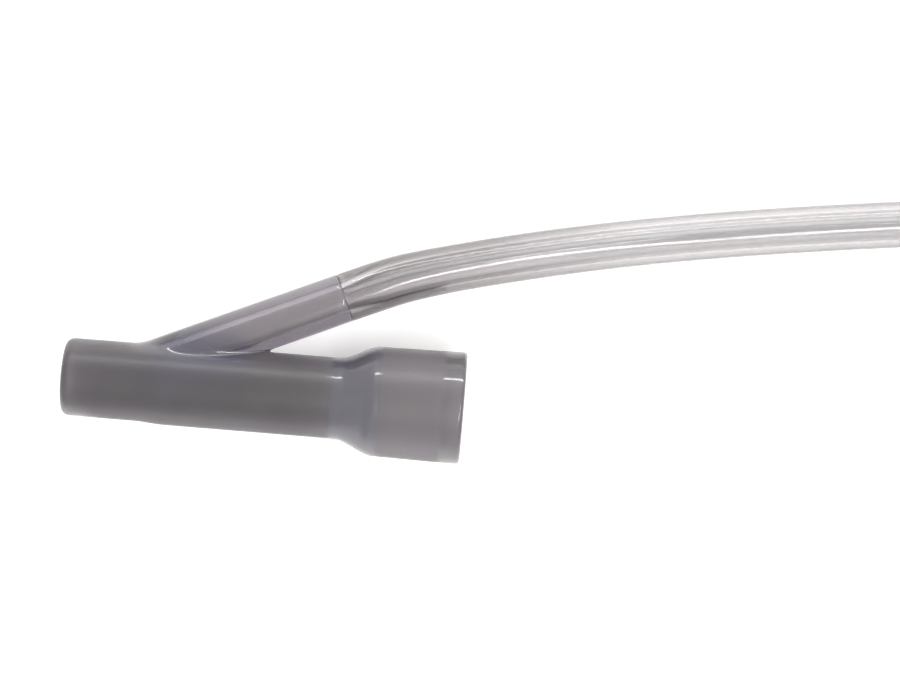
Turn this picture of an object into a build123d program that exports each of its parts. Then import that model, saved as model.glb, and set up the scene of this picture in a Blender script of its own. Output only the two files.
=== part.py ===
from build123d import *
import math
import os

# Saliva ejector on a Y adapter for a high-volume suction valve. Millimetres.
# X runs along the suction axis, from the valve towards the cuff, and Z is up. The origin is on that
# axis, at the inner end of the valve spigot. The branch and its tube lean towards +Y, and the whole
# thing lies on a surface that touches the underside of the cuff.

# Y adapter: outside
spigot_r = 5.5  # the 11 mm size of high-volume evacuator valves and tips
spigot_length = 10.2
nose_round = 1.2
run_r = 5.75
spigot_taper = 4.5  # length over which the spigot grows to the run
shoulder_start = 28.8
shoulder_angle = 28.0
shoulder_round = 3.5
cuff_r = 7.75
rim_r = 7.95
cuff_end = 46.5
rim_round = 0.5

# Y adapter: inside
run_bore_r = 4.3
socket_r = spigot_r  # takes the same 11 mm tip that the valve takes
socket_bottom = 33.5
socket_seat = 0.6  # how far the flow bore opens out before the seat
lead_in = 0.45
edge_break = 0.3

# Branch
branch_r = 3.5
branch_bore_r = 1.5
stub_length = 6.5
stub_tip_r = 2.05
bond_gap = 0.03
stub_chamfer = 0.3
web_round = 0.6

# Tube
tube_r = 3.35
tube_bore_r = 2.2
wire_r = 0.4
wire_lean = 12.0  # degrees from straight up towards +Y
arc_share = 0.45  # of the shorter of two runs that an arc between them takes

# Tip cap
cap_r = 4.0
cap_clearance = 0.03
cap_overlap = 8.0
cap_reach = 5.5  # past the tube's end
cap_cavity_r = 2.6
slot_count = 6
slot_width = 1.1
slot_length = 2.6
end_hole_r = 0.55
end_hole_count = 5
end_hole_circle_r = 1.7

surface_z = -rim_r  # what the cuff, the tube and the cap rest on
tube_rest_z = surface_z + tube_r
cap_rest_z = surface_z + cap_r

# The tube's route. Its first run is the branch's own axis, and its last run is the cap's.
route = [
    (28.6, 14.28, 0.0),
    (32.9, 16.19, 0.0),
    (37.5, 18.0, -0.2),
    (46.5, 20.5, -1.3),
    (59.5, 23.6, -3.4),
    (73.5, 26.35, tube_rest_z),
    (89.5, 28.9, tube_rest_z),
    (106.5, 31.2, tube_rest_z),
    (125.5, 33.4, tube_rest_z),
    (144.5, 35.3, cap_rest_z),
    (163.5, 36.92, cap_rest_z),
]


def turned(points, rounds):
    """A solid turned about X from (x, r) points, with one rounding for each point but the two ends."""
    outline = FilletPolyline(*points, radius=rounds)
    closing = Line(outline @ 1, outline @ 0)
    return revolve(make_face([outline, closing]), Axis.X)


def along(start, towards):
    """A plane at start whose Z points towards a second point."""
    return Plane(origin=start, z_dir=Vector(towards) - Vector(start))


def rod(plane, radius, length):
    return plane * Cylinder(radius, length, align=(Align.CENTER, Align.CENTER, Align.MIN))


def y_outside():
    nose_x = -spigot_length
    cone_length = (cuff_r - run_r) / math.tan(math.radians(shoulder_angle))
    return turned(
        [
            (nose_x, 0),
            (nose_x, spigot_r),
            (0, spigot_r),
            (spigot_taper, run_r),
            (shoulder_start, run_r),
            (shoulder_start + cone_length, cuff_r),
            (cuff_end, rim_r),
            (cuff_end, 0),
        ],
        [nose_round, 0, 0, shoulder_round, shoulder_round, rim_round],
    )


def y_bore():
    nose_x = -spigot_length
    before, after = nose_x - 1, cuff_end + 1
    return turned(
        [
            (before, 0),
            (before, run_bore_r + edge_break),
            (nose_x, run_bore_r + edge_break),
            (nose_x + edge_break, run_bore_r),
            (socket_bottom - socket_seat, run_bore_r),
            (socket_bottom, run_bore_r + socket_seat),
            (socket_bottom, socket_r),
            (cuff_end - lead_in, socket_r),
            (cuff_end, socket_r + lead_in),
            (after, socket_r + lead_in),
            (after, 0),
        ],
        [0] * 9,
    )


def y_body():
    """The moulded Y: spigot, run, shoulder and cuff in line, and a branch with a stub for the tube."""
    butt = Vector(route[0])
    way = (Vector(route[1]) - butt).normalized()
    crossing = butt - way * (butt.Y / way.Y)
    axis = along(crossing, route[0])
    branch_length = (butt - crossing).length
    body = y_outside() + rod(axis, branch_r, branch_length)
    seam = [e for e in body.edges() if e.geom_type not in (GeomType.CIRCLE, GeomType.LINE)]
    body = fillet(seam, web_round)
    stub = Cone(tube_bore_r - bond_gap, stub_tip_r, stub_length, align=(Align.CENTER, Align.CENTER, Align.MIN))
    stub = along(route[0], route[1]) * chamfer(stub.edges().sort_by(Axis.Z)[-1], stub_chamfer)
    body = body + stub - y_bore()
    return body - rod(axis, branch_bore_r, branch_length + stub_length + 1)


def arc_radii(points):
    """Radius of the arc at each corner: as large as its two runs allow."""
    radii = []
    for before, corner, after in zip(points, points[1:], points[2:]):
        run_in = Vector(corner) - Vector(before)
        run_out = Vector(after) - Vector(corner)
        shorter = min(run_in.length, run_out.length)
        half_turn = math.radians(run_in.get_angle(run_out) / 2)
        radii.append(arc_share * shorter / math.tan(half_turn))
    return radii


def tube_path():
    return FilletPolyline(*route, radius=arc_radii(route))


def swept(path, radius, lean=0.0, offset=0.0):
    """A round bar along the path, its centre offset from the path and leaning from straight up."""
    across = Vector(route[1]) - Vector(route[0])
    left = Vector(0, 0, 1).cross(across).normalized()
    angle = math.radians(lean)
    centre = Vector(route[0]) + (Vector(0, 0, 1) * math.cos(angle) + left * math.sin(angle)) * offset
    section = Plane(origin=centre, z_dir=across) * Circle(radius)
    return sweep(section, path=path)


def wire_offset():
    return (tube_r + tube_bore_r) / 2


def shaping_wire(path):
    """Soft steel wire in the tube's wall, which holds the bend that the hand gives it."""
    return swept(path, wire_r, wire_lean, wire_offset())


def suction_tube(path):
    return swept(path, tube_r) - swept(path, tube_bore_r) - shaping_wire(path)


def tip_cap():
    """Soft cap on the tube's end: a push fit, with slots round its nose and holes in its dome."""
    end = Vector(route[-1])
    way = (end - Vector(route[-2])).normalized()
    plane = Plane(origin=end - way * cap_overlap, x_dir=(0, 0, 1), z_dir=way)
    length = cap_overlap + cap_reach
    shell = Cylinder(cap_r, length, align=(Align.CENTER, Align.CENTER, Align.MIN))
    shell = fillet(shell.edges().sort_by(Axis.Z)[-1], cap_r * 0.7)
    shell = fillet(shell.edges().sort_by(Axis.Z)[0], edge_break)
    wall = cap_r - cap_cavity_r
    grip = Cylinder(tube_r + cap_clearance, cap_overlap, align=(Align.CENTER, Align.CENTER, Align.MIN))
    cavity = Cylinder(cap_cavity_r, length - wall, align=(Align.CENTER, Align.CENTER, Align.MIN))
    shell = shell - grip - cavity
    slot_centre = cap_overlap + slot_length / 2 + slot_width / 2
    for index in range(slot_count):
        turn = Rot(0, 0, 360 / slot_count * index)
        slot = Pos(0, 0, slot_centre) * Rot(0, 90, 0) * SlotOverall(slot_length, slot_width)
        shell = shell - turn * extrude(slot, cap_r + 1)
    for index in range(end_hole_count):
        angle = math.radians(360 / end_hole_count * index)
        spot = Pos(end_hole_circle_r * math.cos(angle), end_hole_circle_r * math.sin(angle), length - wall - 1)
        shell = shell - spot * Cylinder(end_hole_r, 2 * wall + 2, align=(Align.CENTER, Align.CENTER, Align.MIN))
    return plane * shell


def build():
    path = tube_path()
    return {
        "y_body": y_body(),
        "suction_tube": suction_tube(path),
        "shaping_wire": shaping_wire(path),
        "tip_cap": tip_cap(),
    }


def report_route():
    length = tube_path().length
    print("route length", round(length, 2))
    print("arc radii", [round(r, 1) for r in arc_radii(route)])


os.makedirs("parts", exist_ok=True)
for node, shape in build().items():
    shape.label = node
    export_step(shape, f"parts/{node}.step")
    print(node, "volume", round(shape.volume, 2))
report_route()
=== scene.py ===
import math

import bpy
import numpy as np
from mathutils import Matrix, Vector


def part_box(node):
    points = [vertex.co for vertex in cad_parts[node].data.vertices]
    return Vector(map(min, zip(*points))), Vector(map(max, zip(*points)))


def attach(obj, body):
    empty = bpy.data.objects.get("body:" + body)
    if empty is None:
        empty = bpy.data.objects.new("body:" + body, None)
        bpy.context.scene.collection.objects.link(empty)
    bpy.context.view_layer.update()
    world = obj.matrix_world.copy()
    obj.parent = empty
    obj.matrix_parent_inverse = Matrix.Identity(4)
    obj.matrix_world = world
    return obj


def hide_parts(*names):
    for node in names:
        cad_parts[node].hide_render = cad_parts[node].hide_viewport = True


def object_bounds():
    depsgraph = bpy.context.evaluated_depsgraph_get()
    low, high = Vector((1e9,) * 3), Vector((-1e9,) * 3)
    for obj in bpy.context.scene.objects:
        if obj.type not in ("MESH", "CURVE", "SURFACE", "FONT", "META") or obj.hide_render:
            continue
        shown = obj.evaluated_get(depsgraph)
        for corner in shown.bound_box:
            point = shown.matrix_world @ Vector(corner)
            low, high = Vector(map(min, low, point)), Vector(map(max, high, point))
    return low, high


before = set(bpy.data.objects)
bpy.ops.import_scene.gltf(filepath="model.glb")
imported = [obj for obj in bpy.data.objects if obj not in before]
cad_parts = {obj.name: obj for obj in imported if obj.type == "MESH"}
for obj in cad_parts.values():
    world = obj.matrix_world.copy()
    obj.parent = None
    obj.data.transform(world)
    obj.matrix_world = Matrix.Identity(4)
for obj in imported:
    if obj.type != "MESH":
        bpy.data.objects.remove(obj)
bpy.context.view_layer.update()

MM = 0.001

# The Y adapter, in millimetres, as part.py has it
SPIGOT_R = 5.5
SPIGOT_LENGTH = 10.2
SPIGOT_TAPER = 4.5
RUN_R = 5.75
NECK_START = 28.4
NECK_END = 34.2
CUFF_R = 7.75
RIM_R = 7.95
CUFF_END = 46.5
RUN_BORE_R = 4.3
SOCKET_BOTTOM = 33.5
SOCKET_SEAT = 0.6
BRANCH_R = 3.5
BRANCH_BORE_R = 1.5
STUB_LENGTH = 6.5

# Two fine ridges round the neck: where along X, and how high
RIDGES = [(28.6, 0.06), (34.0, 0.05)]
RIDGE_WIDTH = 0.4

# The tube, its wire and its cap
TUBE_R = 3.35
TUBE_BORE_R = 2.2
WIRE_R = 0.4
WIRE_LEAN = math.radians(12)
CAP_R = 4.0
CAP_OVERLAP = 8.0
CAP_LENGTH = 13.5
CAP_CAVITY_R = 2.6
CAP_CLEARANCE = 0.03
SLOT_COUNT = 6
SLOT_R = 0.55
SLOT_STRAIGHT = 1.5
SLOT_CENTRE = 9.85
END_HOLE_COUNT = 5
END_HOLE_R = 0.55
END_HOLE_CIRCLE_R = 1.7

ROW_STEP = 0.6  # between the rings of the tube and of the wire

SURFACE_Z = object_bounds()[0][2]

# The tube's route, in metres: the same points as in part.py
ROUTE = [
    (0.0286, 0.01428, 0.0),
    (0.0329, 0.01619, 0.0),
    (0.0375, 0.0180, -0.0002),
    (0.0465, 0.0205, -0.0013),
    (0.0595, 0.0236, -0.0034),
    (0.0735, 0.02635, -0.0046),
    (0.0895, 0.0289, -0.0046),
    (0.1065, 0.0312, -0.0046),
    (0.1255, 0.0334, -0.0046),
    (0.1445, 0.0353, -0.00395),
    (0.1635, 0.03692, -0.00395),
]


# ---------------------------------------------------------------- camera

def make_camera():
    """Straight down on the plane of the Y, with a long lens, and rolled a little."""
    view_angle = math.radians(17)
    view_width = 0.1274
    camera = bpy.data.objects.new("camera", bpy.data.cameras.new("camera"))
    camera.data.angle = view_angle
    camera.location = (0.0438, 0.00986, view_width / 2 / math.tan(view_angle / 2))
    camera.rotation_euler = (0, 0, math.radians(4.65))
    bpy.context.scene.collection.objects.link(camera)
    bpy.context.scene.camera = camera


# ---------------------------------------------------------------- fields and meshes

def larger(a, b, rounding):
    """The larger of two distances, with the edge between them rounded."""
    near = np.maximum(rounding - np.abs(a - b), 0) / rounding
    return np.maximum(a, b) + near * near * rounding / 4


def smaller(a, b, rounding):
    return -larger(-a, -b, rounding)


def ease(x, start, end):
    t = np.clip((x - start) / (end - start), 0, 1)
    return t * t * (3 - 2 * t)


def link(name, verts, faces):
    """A smooth mesh object from points in millimetres."""
    mesh = bpy.data.meshes.new(name)
    mesh.from_pydata((np.asarray(verts) * MM).tolist(), [], faces)
    mesh.shade_smooth()
    mesh.validate()
    piece = bpy.data.objects.new(name, mesh)
    bpy.context.scene.collection.objects.link(piece)
    return piece


def slope_of(field, points, reach=0.01):
    """The field's gradient at some points."""
    parts = []
    for axis in np.eye(3):
        parts.append((field(points + axis * reach) - field(points - axis * reach)) / (2 * reach))
    return np.stack(parts, axis=-1)


def settle(field, points, rounds=4):
    """Moves points onto the surface where the field is zero."""
    for _ in range(rounds):
        slope = slope_of(field, points)
        size = np.maximum((slope * slope).sum(-1, keepdims=True), 0.05)
        move = field(points)[:, None] * slope / size
        points = points - np.clip(move, -0.2, 0.2)
    return points


def relax(points, quads, field, rounds=3):
    """Evens out the quads and puts their corners back on the surface."""
    pairs = np.concatenate([quads[:, [i, (i + 1) % 4]] for i in range(4)])
    for _ in range(rounds):
        total = np.zeros_like(points)
        count = np.zeros(len(points))
        for a, b in (pairs.T, pairs.T[::-1]):
            np.add.at(total, a, points[b])
            np.add.at(count, a, 1)
        points = settle(field, 0.5 * points + 0.5 * total / count[:, None], 2)
    return points


def untangle(value):
    """Flips the weakest corner of each grid square where the surface would touch itself along an edge."""
    for b, c in ((0, 1), (0, 2), (1, 2)) * 3:
        inside = value < 0
        beside, above = np.roll(inside, -1, b), np.roll(inside, -1, c)
        across = np.roll(inside, (-1, -1), (b, c))
        for spot in np.argwhere((inside == across) & (beside == above) & (inside != beside)):
            steps = np.eye(3, dtype=int)
            corners = [tuple(spot + i * steps[b] + j * steps[c]) for i in (0, 1) for j in (0, 1)]
            weakest = min(corners, key=lambda corner: abs(value[corner]))
            value[weakest] = -value[weakest]
    return value


def skin(name, field, low, high, step):
    """The closed surface where a field is zero, as even quads (surface nets)."""
    low = np.asarray(low, float)
    counts = np.ceil((np.asarray(high, float) - low) / step).astype(int) + 1
    axes = [low[i] + step * np.arange(counts[i]) for i in range(3)]
    grid = np.stack(np.meshgrid(*axes, indexing="ij"), axis=-1)
    value = untangle(field(grid.reshape(-1, 3)).reshape(counts))
    inside = value < 0
    total = np.zeros((*(counts - 1), 3))
    hits = np.zeros(counts - 1)
    for axis in range(3):
        near = [slice(None)] * 3
        far = [slice(None)] * 3
        near[axis] = slice(None, -1)
        far[axis] = slice(1, None)
        a, b = value[tuple(near)], value[tuple(far)]
        crossed = (a < 0) != (b < 0)
        share = np.where(crossed, a / np.where(crossed, a - b, 1), 0)
        spot = grid[tuple(near)].copy()
        spot[..., axis] += share * step
        others = [i for i in range(3) if i != axis]
        for u in (0, 1):
            for v in (0, 1):
                cut = [slice(None)] * 3
                cut[others[0]] = slice(u, counts[others[0]] - 1 + u)
                cut[others[1]] = slice(v, counts[others[1]] - 1 + v)
                total += np.where(crossed[tuple(cut)][..., None], spot[tuple(cut)], 0)
                hits += crossed[tuple(cut)]
    active = hits > 0
    number = np.full(active.shape, -1)
    number[active] = np.arange(active.sum())
    points = total[active] / hits[active][:, None]
    quads = []
    for axis in range(3):
        b, c = (axis + 1) % 3, (axis + 2) % 3
        near = [slice(None)] * 3
        far = [slice(None)] * 3
        near[axis] = slice(None, -1)
        far[axis] = slice(1, None)
        crossed = inside[tuple(near)] != inside[tuple(far)]
        where = np.argwhere(crossed)
        where = where[(where[:, b] > 0) & (where[:, c] > 0)]
        outward = inside[tuple(near)][tuple(where.T)]
        corners = []
        for db, dc in ((1, 1), (0, 1), (0, 0), (1, 0)):
            cell = where.copy()
            cell[:, b] -= db
            cell[:, c] -= dc
            corners.append(number[tuple(cell.T)])
        quad = np.stack(corners, axis=-1)
        quad[~outward] = quad[~outward][:, ::-1]
        quads.append(quad)
    quads = np.concatenate(quads)
    points = relax(settle(field, points), quads, field)
    return link(name, points, quads.tolist())


# ---------------------------------------------------------------- Y adapter

def y_axis():
    """Where the branch's axis meets the run's, its direction, and how far along it the tube starts."""
    butt = np.array(ROUTE[0]) / MM
    way = np.array(ROUTE[1]) / MM - butt
    way /= np.linalg.norm(way)
    crossing = butt - way * butt[1] / way[1]
    return crossing, way, np.linalg.norm(butt - crossing)


def y_field(p):
    """Distance to the Y adapter's surface, in millimetres, below zero inside."""
    x = p[:, 0]
    r = np.hypot(p[:, 1], p[:, 2])
    crossing, way, butt = y_axis()
    s = (p - crossing) @ way
    rho = np.linalg.norm(p - crossing - s[:, None] * way, axis=-1)

    outside_r = SPIGOT_R + (RUN_R - SPIGOT_R) * ease(x, 0, SPIGOT_TAPER)
    outside_r = outside_r + (CUFF_R - RUN_R) * ease(x, NECK_START, NECK_END)
    for ridge_x, height in RIDGES:
        outside_r = outside_r + height * np.exp(-(((x - ridge_x) / RIDGE_WIDTH) ** 2))
    outside_r = outside_r + (RIM_R - CUFF_R) * np.clip((x - NECK_END) / (CUFF_END - NECK_END), 0, 1)
    run = larger(r - outside_r, -SPIGOT_LENGTH - x, 1.4)
    run = larger(run, x - CUFF_END, 0.6)
    branch = larger(np.maximum(rho - BRANCH_R, -s), s - butt, 0.1)
    body = smaller(run, branch, 0.5)

    seat = SOCKET_SEAT * np.clip((x - SOCKET_BOTTOM + SOCKET_SEAT) / SOCKET_SEAT, 0, 1)
    bore = r - (RUN_BORE_R + seat)
    socket = larger(r - SPIGOT_R, SOCKET_BOTTOM - x, 0.25)
    hollow = smaller(bore, socket, 0.25)
    hollow = smaller(hollow, np.maximum(rho - BRANCH_BORE_R, -s), 0.4)
    return larger(body, -hollow, 0.35)


def box_round(node, margin):
    """A CAD node's box, in millimetres, with a margin round it."""
    low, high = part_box(node)
    return [v / MM - margin for v in low], [v / MM + margin for v in high]


def make_y_body():
    low, high = box_round("y_body", 0.8)
    piece = skin("y_adapter", y_field, low, high, 0.26)
    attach(piece, "adapter")
    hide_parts("y_body")
    return piece


# ---------------------------------------------------------------- tube, wire and cap

def route_points():
    """Points along the route's smooth curve, in metres."""
    curve = bpy.data.curves.new("route", "CURVE")
    curve.dimensions = "3D"
    spline = curve.splines.new("NURBS")
    spline.points.add(len(ROUTE) - 1)
    for point, place in zip(spline.points, ROUTE):
        point.co = (*place, 1)
    spline.order_u = 3
    spline.use_endpoint_u = True
    spline.resolution_u = 24
    line = bpy.data.objects.new("route", curve)
    bpy.context.scene.collection.objects.link(line)
    mesh = bpy.data.meshes.new_from_object(line)
    points = np.array([v.co for v in mesh.vertices])
    bpy.data.objects.remove(line)
    bpy.data.meshes.remove(mesh)
    return points


class Path:
    """A line through points, kept in millimetres, with a frame that doesn't twist."""

    def __init__(self, points):
        self.points = np.asarray(points) / MM
        steps = np.linalg.norm(np.diff(self.points, axis=0), axis=1)
        self.at = np.concatenate([[0], np.cumsum(steps)])
        self.length = self.at[-1]
        self.way = np.gradient(self.points, self.at, axis=0)
        self.way /= np.linalg.norm(self.way, axis=1, keepdims=True)
        up = [np.array([0.0, 0.0, 1.0])]
        for way in self.way:
            side = up[-1] - way * (up[-1] @ way)
            up.append(side / np.linalg.norm(side))
        self.up = np.array(up[1:])

    def frame(self, s):
        """At distances s along it: the place, the way on, and the directions up and left."""
        s = np.asarray(s, float)

        def read(values):
            return np.stack([np.interp(s, self.at, values[:, i]) for i in range(3)], axis=-1)

        way, up = read(self.way), read(self.up)
        up = up - way * (up * way).sum(-1, keepdims=True)
        way /= np.linalg.norm(way, axis=-1, keepdims=True)
        up /= np.linalg.norm(up, axis=-1, keepdims=True)
        return read(self.points), way, up, np.cross(up, way)


def lathe_along(name, path, outline, around, closed, offset=0.0, lean=0.0):
    """Turns an outline of (distance along, radius) about a path, or about a line beside it."""
    along = np.array([point[0] for point in outline])
    radius = np.array([point[1] for point in outline])
    centre, way, up, left = path.frame(np.clip(along, 0, path.length))
    centre = centre + (up * math.cos(lean) + left * math.sin(lean)) * offset
    centre = centre + way * (along - np.clip(along, 0, path.length))[:, None]
    turn = 2 * np.pi * np.arange(around) / around
    spokes = up[:, None] * np.cos(turn)[None, :, None] + left[:, None] * np.sin(turn)[None, :, None]
    verts = (centre[:, None] + spokes * radius[:, None, None]).reshape(-1, 3)
    rows = len(outline)
    faces = []
    for i in range(rows if closed else rows - 1):
        for j in range(around):
            a, b = i * around + j, i * around + (j + 1) % around
            c, d = ((i + 1) % rows) * around + (j + 1) % around, ((i + 1) % rows) * around + j
            faces.append((a, d, c, b))
    if not closed:
        faces.append(tuple(range(around)))
        faces.append(tuple((rows - 1) * around + j for j in range(around))[::-1])
    return link(name, verts, faces)


def tube_outline(path):
    """Down the outside of the tube, round its cut end, back up its bore and round the first end.

    The stub is bonded in with solvent, which leaves no boundary to see, so here it is part of the
    tube's wall: the bore opens out from the branch's to the tube's over the stub's length.
    """
    start, end = 0.03, path.length
    cut, lip = 0.15, 0.05
    along = np.arange(start + cut, end - cut, ROW_STEP)
    outside = TUBE_R + (BRANCH_R - TUBE_R) * (1 - ease(along, 4, 18)) - 0.05 * ease(along, 18, 50)
    last = outside[-1]
    rows = list(zip(along, outside))
    rows += [(end - cut, last), (end - cut * 0.3, last - cut * 0.3), (end, last - cut)]
    rows += [(end, TUBE_BORE_R + cut), (end - cut * 0.3, TUBE_BORE_R + cut * 0.3), (end - cut, TUBE_BORE_R)]
    inside = BRANCH_BORE_R + (TUBE_BORE_R - BRANCH_BORE_R) * ease(along, 0, STUB_LENGTH)
    rows += list(zip(along[::-1], inside[::-1]))
    rows += [(start, BRANCH_BORE_R + lip), (start, BRANCH_R - lip)]
    return rows


def make_tube(path):
    tube = lathe_along("suction_tube_soft", path, tube_outline(path), 96, True)
    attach(tube, "adapter")
    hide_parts("suction_tube")
    return tube


def make_wire(path):
    offset = (TUBE_R + TUBE_BORE_R) / 2
    start, end = 0.4, path.length - 0.25
    rows = [(start, WIRE_R * 0.8), (start + 0.08, WIRE_R)]
    rows += [(s, WIRE_R) for s in np.arange(start + ROW_STEP, end - ROW_STEP / 2, ROW_STEP)]
    rows += [(end - 0.08, WIRE_R), (end, WIRE_R * 0.8)]
    wire = lathe_along("bending_wire", path, rows, 20, False, offset, WIRE_LEAN)
    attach(wire, "adapter")
    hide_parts("shaping_wire")
    return wire


def cap_field(path):
    """The distance to the cap's surface, as a function: a dome with a grip, slots and end holes."""
    end, way, up, left = (value[0] for value in path.frame([path.length]))
    start = end - way * CAP_OVERLAP

    def fold(angle, count):
        """The angle from the nearest of some evenly spaced directions."""
        part = 2 * np.pi / count
        return (angle + part / 2) % part - part / 2

    def field(p):
        s = (p - start) @ way
        a, b = (p - start) @ up, (p - start) @ left
        rho = np.hypot(a, b)
        angle = np.arctan2(b, a)
        shell = larger(larger(rho - CAP_R, s - CAP_LENGTH, 3.3), -s, 0.35)
        grip = larger(rho - TUBE_R - CAP_CLEARANCE, s - CAP_OVERLAP - 0.1, 0.15)
        cavity = larger(rho - CAP_CAVITY_R, s - (CAP_LENGTH - CAP_R + CAP_CAVITY_R), 2.0)
        hollow = np.minimum(grip, cavity)
        side = fold(angle, SLOT_COUNT)
        past = np.maximum(np.abs(s - SLOT_CENTRE) - SLOT_STRAIGHT / 2, 0)
        slot = np.maximum(np.hypot(past, rho * np.sin(side)) - SLOT_R, 0.5 - rho * np.cos(side))
        side = fold(angle, END_HOLE_COUNT)
        hole = np.hypot(rho * np.cos(side) - END_HOLE_CIRCLE_R, rho * np.sin(side)) - END_HOLE_R
        hole = np.maximum(hole, CAP_OVERLAP + 3 - s)
        hollow = smaller(hollow, np.minimum(slot, hole), 0.15)
        return larger(shell, -hollow, 0.2)

    return field


def make_cap(path):
    low, high = box_round("tip_cap", 0.6)
    cap = skin("soft_tip", cap_field(path), low, high, 0.2)
    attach(cap, "tip")
    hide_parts("tip_cap")
    return cap


# ---------------------------------------------------------------- materials

class Nodes:
    """Short ways to build a material's nodes."""

    def __init__(self, name):
        self.made = bpy.data.materials.new(name)
        self.made.use_nodes = True
        self.tree = self.made.node_tree
        self.shader = self.tree.nodes["Principled BSDF"]
        self.output = self.tree.nodes["Material Output"]

    def set(self, socket, value):
        self.shader.inputs[socket].default_value = value

    def link(self, source, target):
        self.tree.links.new(source, target)

    def add(self, kind, **settings):
        node = self.tree.nodes.new(kind)
        for key, value in settings.items():
            setattr(node, key, value)
        return node

    def place(self):
        """Where a point is on the object, in metres."""
        return self.add("ShaderNodeTexCoord").outputs["Object"]

    def noise(self, scale, detail=3.0):
        node = self.add("ShaderNodeTexNoise")
        node.inputs["Scale"].default_value = scale
        node.inputs["Detail"].default_value = detail
        self.link(self.place(), node.inputs["Vector"])
        return node.outputs["Fac"]

    def number(self, name):
        """A number that the mesh carries at each point."""
        return self.add("ShaderNodeAttribute", attribute_name=name).outputs["Fac"]

    def ramp(self, source, start, end, low, high):
        """Maps start..end to low..high."""
        node = self.add("ShaderNodeMapRange")
        self.link(source, node.inputs["Value"])
        for socket, value in zip(("From Min", "From Max", "To Min", "To Max"), (start, end, low, high)):
            node.inputs[socket].default_value = value
        return node.outputs["Result"]

    def math(self, kind, a, b):
        node = self.add("ShaderNodeMath", operation=kind)
        for socket, value in zip(node.inputs, (a, b)):
            if isinstance(value, (int, float)):
                socket.default_value = value
            else:
                self.link(value, socket)
        return node.outputs[0]

    def blend(self, share, a, b):
        """One colour turning into another."""
        node = self.add("ShaderNodeMix", data_type="RGBA")
        self.link(share, node.inputs["Factor"])
        for socket, value in zip((node.inputs["A"], node.inputs["B"]), (a, b)):
            if isinstance(value, tuple):
                socket.default_value = (*value, 1)
            else:
                self.link(value, socket)
        return node.outputs["Result"]

    def bump(self, height, distance, strength):
        node = self.add("ShaderNodeBump")
        node.inputs["Distance"].default_value = distance
        if isinstance(strength, float):
            node.inputs["Strength"].default_value = strength
        else:
            self.link(strength, node.inputs["Strength"])
        self.link(height, node.inputs["Height"])
        self.link(node.outputs["Normal"], self.shader.inputs["Normal"])

    def absorb(self, colour, density):
        """Colour that a thicker wall makes deeper."""
        node = self.add("ShaderNodeVolumeAbsorption")
        node.inputs["Color"].default_value = (*colour, 1)
        node.inputs["Density"].default_value = density
        self.link(node.outputs["Volume"], self.output.inputs["Volume"])


def smoky_vinyl_painted_light():
    """Smoky soft PVC: satin where the mould was textured, glossy on the branch, wet-looking at the seam."""
    m = Nodes("smoky_vinyl_painted_light")
    m.set("IOR", 1.52)
    m.set("Transmission Weight", 0.86)
    cloud = m.noise(90, 4)
    # The pale mark is partly painted light: a painted sheen on the run's upper side and painted lightening
    # towards the cuff, added to the vinyl's random cloudy tone.
    tone_and_painted_light = m.math("ADD", m.number("pale"), m.ramp(cloud, 0.3, 0.7, -0.08, 0.08))
    colour = m.blend(tone_and_painted_light, (0.232, 0.214, 0.231), (0.64, 0.61, 0.62))
    m.link(m.blend(m.number("cool"), colour, (0.27, 0.27, 0.37)), m.shader.inputs["Base Color"])
    m.link(m.number("wet"), m.shader.inputs["Coat Weight"])
    m.set("Coat Roughness", 0.05)
    m.set("Coat IOR", 1.6)
    satin = m.number("satin")
    grain = m.noise(2600, 3)
    rough = m.math("ADD", m.ramp(satin, 0, 1, 0.11, 0.38), m.ramp(grain, 0.3, 0.7, -0.03, 0.05))
    m.link(rough, m.shader.inputs["Roughness"])
    m.bump(grain, 0.00003, m.ramp(satin, 0, 1, 0.05, 0.5))
    m.absorb((0.62, 0.59, 0.66), 400)
    return m.made


def clear_vinyl_painted_shade():
    """Clear soft PVC, a little cloudy, darker near the branch over the smoky stub, with painted shade
    lightening along the tube and painted shade darkening its edges.
    """
    m = Nodes("clear_vinyl_painted_shade")
    m.set("IOR", 1.5)
    m.set("Transmission Weight", 0.97)
    cloud = m.noise(60, 3)
    # The clear mark is mostly painted shade: darker near the branch and lightening along the tube to x = 78
    # mm. Over the first few millimetres, where the smoky stub lies inside, the darker colour is the stub's
    # own.
    share = m.math("ADD", m.number("clear"), m.ramp(cloud, 0.3, 0.7, -0.05, 0.05))
    face = m.blend(share, (0.58, 0.555, 0.57), (0.89, 0.88, 0.885))
    edge = m.blend(m.math("MULTIPLY", share, share), (0.14, 0.13, 0.125), (0.42, 0.41, 0.41))
    # Painted shade: the base colour darkens towards the tube's silhouette edges, by the Layer Weight facing
    # value.
    rim = m.add("ShaderNodeLayerWeight")
    rim.inputs["Blend"].default_value = 0.5
    painted_edge_shade = m.ramp(rim.outputs["Facing"], 0.2, 0.32, 0, 1)
    m.link(m.blend(painted_edge_shade, face, edge), m.shader.inputs["Base Color"])
    m.link(m.ramp(m.noise(900, 3), 0.3, 0.7, 0.07, 0.13), m.shader.inputs["Roughness"])
    m.bump(m.noise(240, 2), 0.00004, 0.2)
    m.absorb((0.86, 0.85, 0.86), 300)
    return m.made


def cap_vinyl():
    """Milky soft PVC, a little pearly."""
    m = Nodes("cap_vinyl")
    m.set("IOR", 1.5)
    m.set("Transmission Weight", 0.35)
    m.link(m.blend(m.noise(300, 3), (0.50, 0.52, 0.55), (0.57, 0.59, 0.62)), m.shader.inputs["Base Color"])
    m.link(m.ramp(m.noise(1500, 3), 0.3, 0.7, 0.34, 0.42), m.shader.inputs["Roughness"])
    m.absorb((0.85, 0.88, 0.92), 120)
    return m.made


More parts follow.
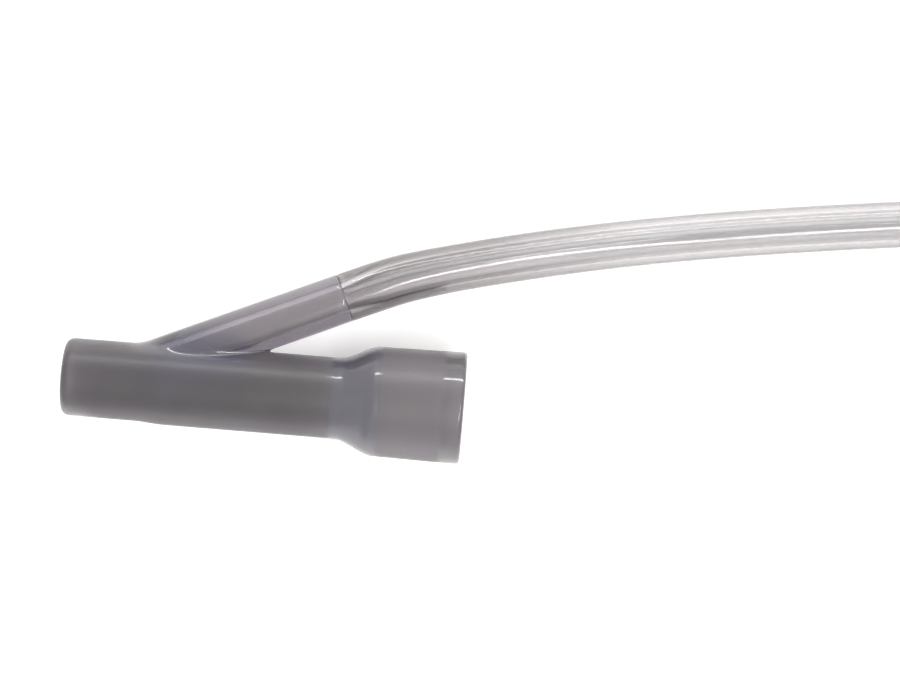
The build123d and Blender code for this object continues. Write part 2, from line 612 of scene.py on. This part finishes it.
def drawn_wire():
    """Dull tinned wire."""
    m = Nodes("drawn_wire")
    m.set("Metallic", 0.1)
    m.link(m.blend(m.noise(1200, 4), (0.90, 0.90, 0.91), (0.96, 0.96, 0.97)), m.shader.inputs["Base Color"])
    m.link(m.ramp(m.noise(3000, 3), 0.3, 0.7, 0.5, 0.64), m.shader.inputs["Roughness"])
    return m.made


def paint(piece, made):
    piece.data.materials.clear()
    piece.data.materials.append(made)


def carry(piece, name, values):
    """Stores a number at each point of a mesh."""
    layer = piece.data.attributes.new(name, "FLOAT", "POINT")
    layer.data.foreach_set("value", np.clip(values, 0, 1).astype(np.float32))


def points_of(piece):
    flat = np.zeros(len(piece.data.vertices) * 3)
    piece.data.vertices.foreach_get("co", flat)
    return flat.reshape(-1, 3) / MM


def finish_y(piece):
    """Marks where the adapter is satin, wet-looking, pale or cool in colour, and paints it. The pale mark
    holds painted light: a painted sheen on the run's upper side below the branch, and the run painted
    lighter towards the cuff.
    """
    p = points_of(piece)
    crossing, way, _ = y_axis()
    s = (p - crossing) @ way
    rho = np.linalg.norm(p - crossing - s[:, None] * way, axis=-1)
    x = p[:, 0]
    r = np.hypot(p[:, 1], p[:, 2])
    on_branch = ease(r - RUN_R, 0, 0.4) * (rho < BRANCH_R + 1.5)
    from_seam = (rho - BRANCH_R) ** 2 + (r - RUN_R) ** 2
    seam = np.exp(-from_seam / 0.5)
    neck = ease(x, 27.0, 28.5) * (1 - ease(x, 34.0, 35.0))
    rim = ease(x, 43.0, 44.0)
    carry(piece, "satin", 1 - on_branch)
    carry(piece, "wet", 0.7 * np.maximum(seam, np.maximum(neck, rim)))
    # Painted light in the pale mark: a painted sheen on the run's upper side between x = 13 and 29 mm, and
    # the run painted lighter towards the cuff by the 0.64 ramp over x = 20..40 mm. The neck and rim are
    # made darker, and the branch lightens away from the seam.
    painted_top_sheen = ease(p[:, 1], 3.4, 5.2) * ease(x, 13, 18) * (1 - ease(x, 27, 29))
    pale = 0.64 * ease(x, 20, 40) - 0.2 * neck - 0.4 * rim + 0.4 * painted_top_sheen
    carry(piece, "pale", pale + (0.8 - pale) * on_branch * ease(s, 2, 22))
    cool = 0.8 * np.exp(-from_seam / 9) * ease(x, 0, 6) * (1 - ease(s, 18, 22))
    carry(piece, "cool", np.maximum(cool, 0.6 * neck * (1 - on_branch)))
    paint(piece, smoky_vinyl_painted_light())


def finish_tube(piece):
    """Marks how far the tube's painted shade has lightened along it, darkest over the smoky stub at the
    branch, and paints it.
    """
    carry(piece, "clear", ease(points_of(piece)[:, 0], 24, 78))
    paint(piece, clear_vinyl_painted_shade())


# ---------------------------------------------------------------- floor and light

def make_floor():
    """A pale sweep that glows a little, so that the shadows stay faint."""
    size = 3.0
    mesh = bpy.data.meshes.new("floor")
    corners = [(x * size, y * size, SURFACE_Z) for x, y in ((-1, -1), (1, -1), (1, 1), (-1, 1))]
    mesh.from_pydata(corners, [], [(0, 1, 2, 3)])
    floor = bpy.data.objects.new("floor", mesh)
    bpy.context.scene.collection.objects.link(floor)
    m = Nodes("pale_floor")
    m.set("Base Color", (0.93, 0.925, 0.92, 1))
    m.set("Roughness", 0.8)
    m.set("Emission Color", (1, 0.99, 0.98, 1))
    m.set("Emission Strength", 0.22)
    paint(floor, m.made)


def lamp(name, place, target, size, radiance):
    """A soft rectangular lamp, its brightness given as the radiance of its face."""
    data = bpy.data.lights.new(name, "AREA")
    data.shape = "RECTANGLE"
    data.size, data.size_y = size
    data.energy = radiance * math.pi * size[0] * size[1]
    light = bpy.data.objects.new(name, data)
    light.location = place
    way = Vector(target) - Vector(place)
    light.rotation_euler = way.to_track_quat("-Z", "Y").to_euler()
    bpy.context.scene.collection.objects.link(light)


def make_light():
    world = bpy.data.worlds.new("world")
    bpy.context.scene.world = world
    world.use_nodes = True
    sky = world.node_tree.nodes["Background"]
    sky.inputs["Color"].default_value = (1.0, 0.99, 0.98, 1)
    sky.inputs["Strength"].default_value = 1.25
    lamp("window", (0.1, 0.84, 0.46), (0.05, 0.02, 0), (0.9, 0.08), 15)
    lamp("ceiling", (0.34, -0.12, 0.8), (0.10, 0.02, 0), (0.55, 0.10), 13)


make_camera()
route = route_points()
path = Path(route)
tube = make_tube(path)
finish_tube(tube)
wire = make_wire(path)
paint(wire, drawn_wire())
cap = make_cap(path)
paint(cap, cap_vinyl())
finish_y(make_y_body())
make_floor()
make_light()
bpy.context.scene.view_settings.view_transform = "Standard"
